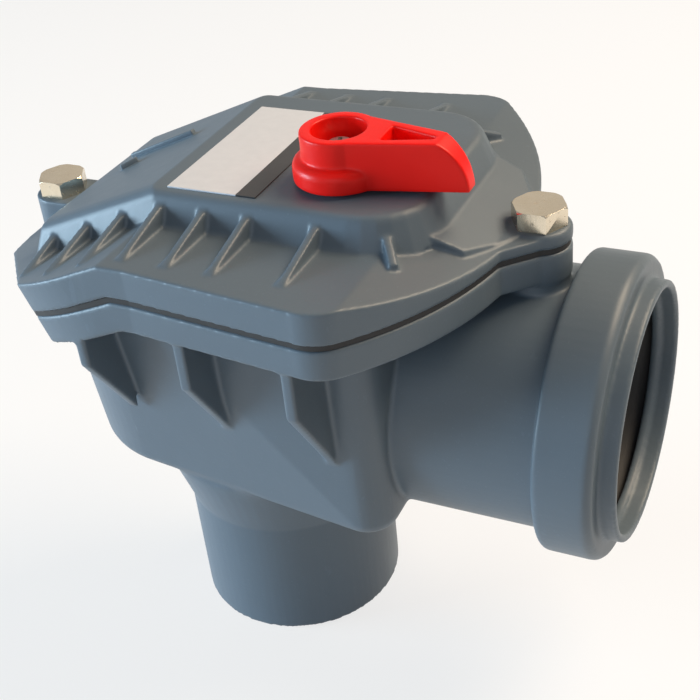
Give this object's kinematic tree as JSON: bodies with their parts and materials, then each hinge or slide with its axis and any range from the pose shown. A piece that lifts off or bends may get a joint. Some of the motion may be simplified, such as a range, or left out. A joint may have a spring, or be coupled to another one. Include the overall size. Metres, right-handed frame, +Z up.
{
  "type": "backwater valve",
  "caption": "Angle backwater valve with a socket inlet, a downward spigot, a swinging flap under a bolted ribbed lid, and a lever that locks the flap shut.",
  "frame": {"origin": "centre of the outlet spigot's end face", "axes": "+X towards the inlet socket's mouth, +Y to the back, +Z up along the spigot's axis"},
  "size_m": [0.1473, 0.0996, 0.1307],
  "materials": {
    "grey_plastic": "satin moulded polypropylene",
    "dark_plastic": "satin moulded polypropylene",
    "red_plastic": "semi-gloss moulded",
    "black_rubber": "matt",
    "zinc_steel": "zinc plated",
    "stainless": "plain",
    "white_nylon": "satin",
    "label_film": "printed film, left bare"
  },
  "bodies": {
    "housing": {"body": "grey_plastic", "lid": "grey_plastic", "lid_gasket": "black_rubber", "label": "label_film", "lid_bolt_outer": "zinc_steel", "lid_bolt_inlet": "zinc_steel", "lid_nuts": "zinc_steel", "socket_seal": "black_rubber", "hinge_pin": "stainless", "hinge_clips": "stainless"},
    "flap": {"flap": "dark_plastic", "flap_seal": "black_rubber", "seal_plate": "stainless", "flap_screws": "stainless"},
    "lock": {"spindle": "dark_plastic", "spindle_o_rings": "black_rubber", "thrust_washer": "white_nylon", "lever": "red_plastic", "lever_screw": "stainless", "screw_washer": "stainless"}
  },
  "joints": [
    {"name": "flap_swing", "type": "hinge", "parent": "housing", "child": "flap", "pos_m": [0.031, 0, 0.096], "axis": [0, 1, 0], "range_deg": [0, 72]},
    {"name": "lever_turn", "type": "hinge", "parent": "housing", "child": "lock", "pos_m": [0.0285, -0.0105, 0.12], "axis": [0, 0, 1], "range_deg": [0, 90]}
  ]
}
